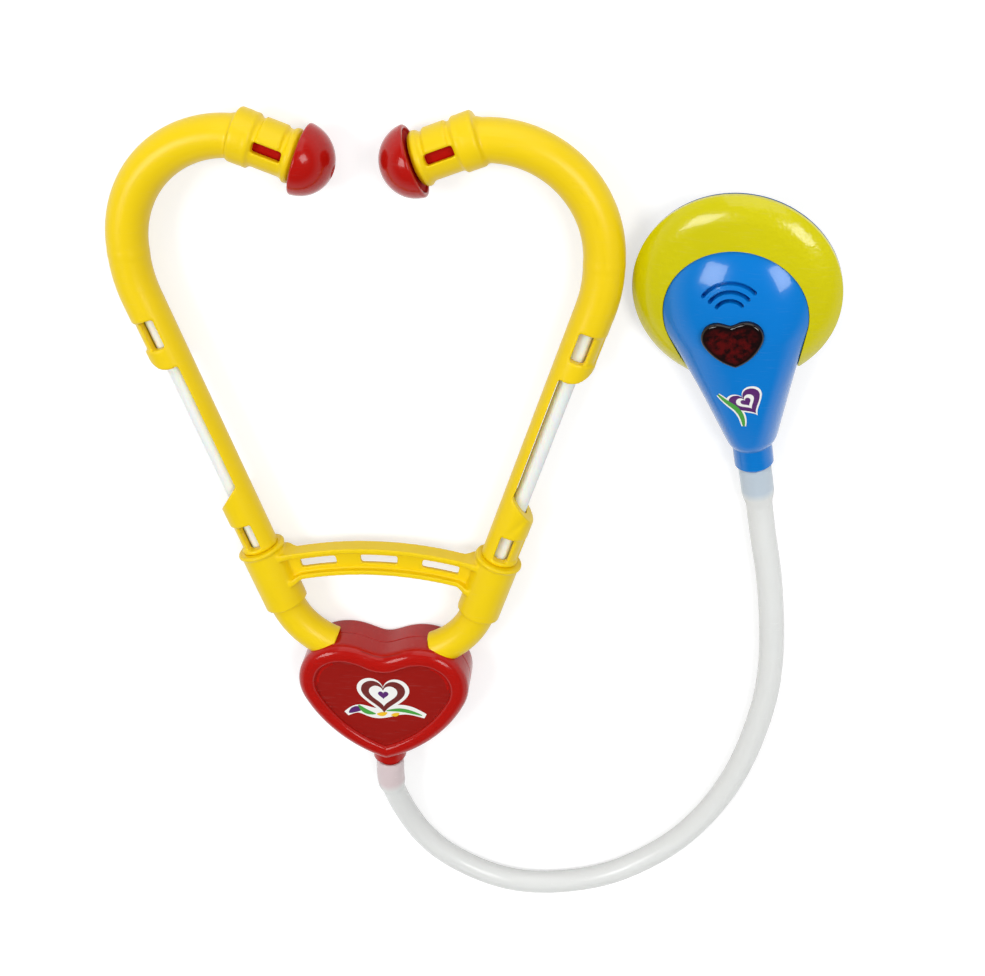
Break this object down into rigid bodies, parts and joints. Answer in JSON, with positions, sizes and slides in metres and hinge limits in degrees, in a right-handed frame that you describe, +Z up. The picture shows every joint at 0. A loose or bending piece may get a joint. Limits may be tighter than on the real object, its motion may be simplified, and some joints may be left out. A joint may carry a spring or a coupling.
{
  "type": "toy stethoscope",
  "caption": "Toy stethoscope with a heart-shaped hub, swivelling ear tubes, a soft hose and a lit, talking chest piece with a push diaphragm.",
  "frame": {"origin": "middle of the heart hub's flat back, on the table", "axes": "+Z up from the table, +Y from the heart to the ear tips, +X towards the chest piece"},
  "size_m": [0.207, 0.289, 0.0242],
  "materials": {
    "yellow_plastic": "moulded, semi-gloss",
    "red_plastic": "moulded, glossy",
    "blue_plastic": "moulded, glossy",
    "lime_plastic": "moulded, glossy, scuffed",
    "soft_tube": "milky soft vinyl",
    "lens_plastic": "translucent, glossy",
    "steel": "plain",
    "board": "solder mask",
    "speaker_black": "plain",
    "led_plastic": "frosted"
  },
  "bodies": {
    "hub": {"yoke": "yellow_plastic", "heart_back_shell": "red_plastic", "heart_front_shell": "red_plastic", "heart_screws": "steel", "heart_spigot": "red_plastic", "hose": "soft_tube", "chest_spigot": "blue_plastic", "chest_base": "blue_plastic", "chest_disc": "lime_plastic", "chest_cover": "blue_plastic", "heart_lens": "lens_plastic", "diaphragm_spring": "steel", "circuit_board": "board", "board_screws": "steel", "led": "led_plastic", "speaker": "speaker_black", "button_cells": "steel", "battery_contact": "steel", "battery_door": "blue_plastic", "door_screw": "steel", "chest_screws": "steel"},
    "left_arm_body": {"left_arm": "yellow_plastic", "left_arm_tube": "soft_tube"},
    "right_arm_body": {"right_arm": "yellow_plastic", "right_arm_tube": "soft_tube"},
    "left_ear_body": {"left_ear_tip": "red_plastic"},
    "right_ear_body": {"right_ear_tip": "red_plastic"},
    "push_plate": {"diaphragm": "lime_plastic"}
  },
  "joints": [
    {"name": "left_arm_swivel", "type": "hinge", "parent": "hub", "child": "left_arm_body", "pos_m": [-0.0388, 0.05836, 0.01], "axis": [-0.309, 0.9511, 0], "range_deg": [-15, 15]},
    {"name": "left_ear_tip_turn", "type": "hinge", "parent": "left_arm_body", "child": "left_ear_body", "pos_m": [-0.03024, 0.18745, 0.01], "axis": [0.9397, -0.342, 0], "continuous": true},
    {"name": "right_arm_swivel", "type": "hinge", "parent": "hub", "child": "right_arm_body", "pos_m": [0.0388, 0.05836, 0.01], "axis": [0.309, 0.9511, 0], "range_deg": [-15, 15]},
    {"name": "right_ear_tip_turn", "type": "hinge", "parent": "right_arm_body", "child": "right_ear_body", "pos_m": [0.03024, 0.18745, 0.01], "axis": [-0.9397, -0.342, 0], "continuous": true},
    {"name": "diaphragm_press", "type": "slide", "parent": "hub", "child": "push_plate", "axis": [-0.2165, -0.1905, 0.9575], "range_m": [0, 0.0015], "stiffness_N_per_m": 250, "springref_m": -0.002, "deforming": ["diaphragm_spring"]}
  ]
}
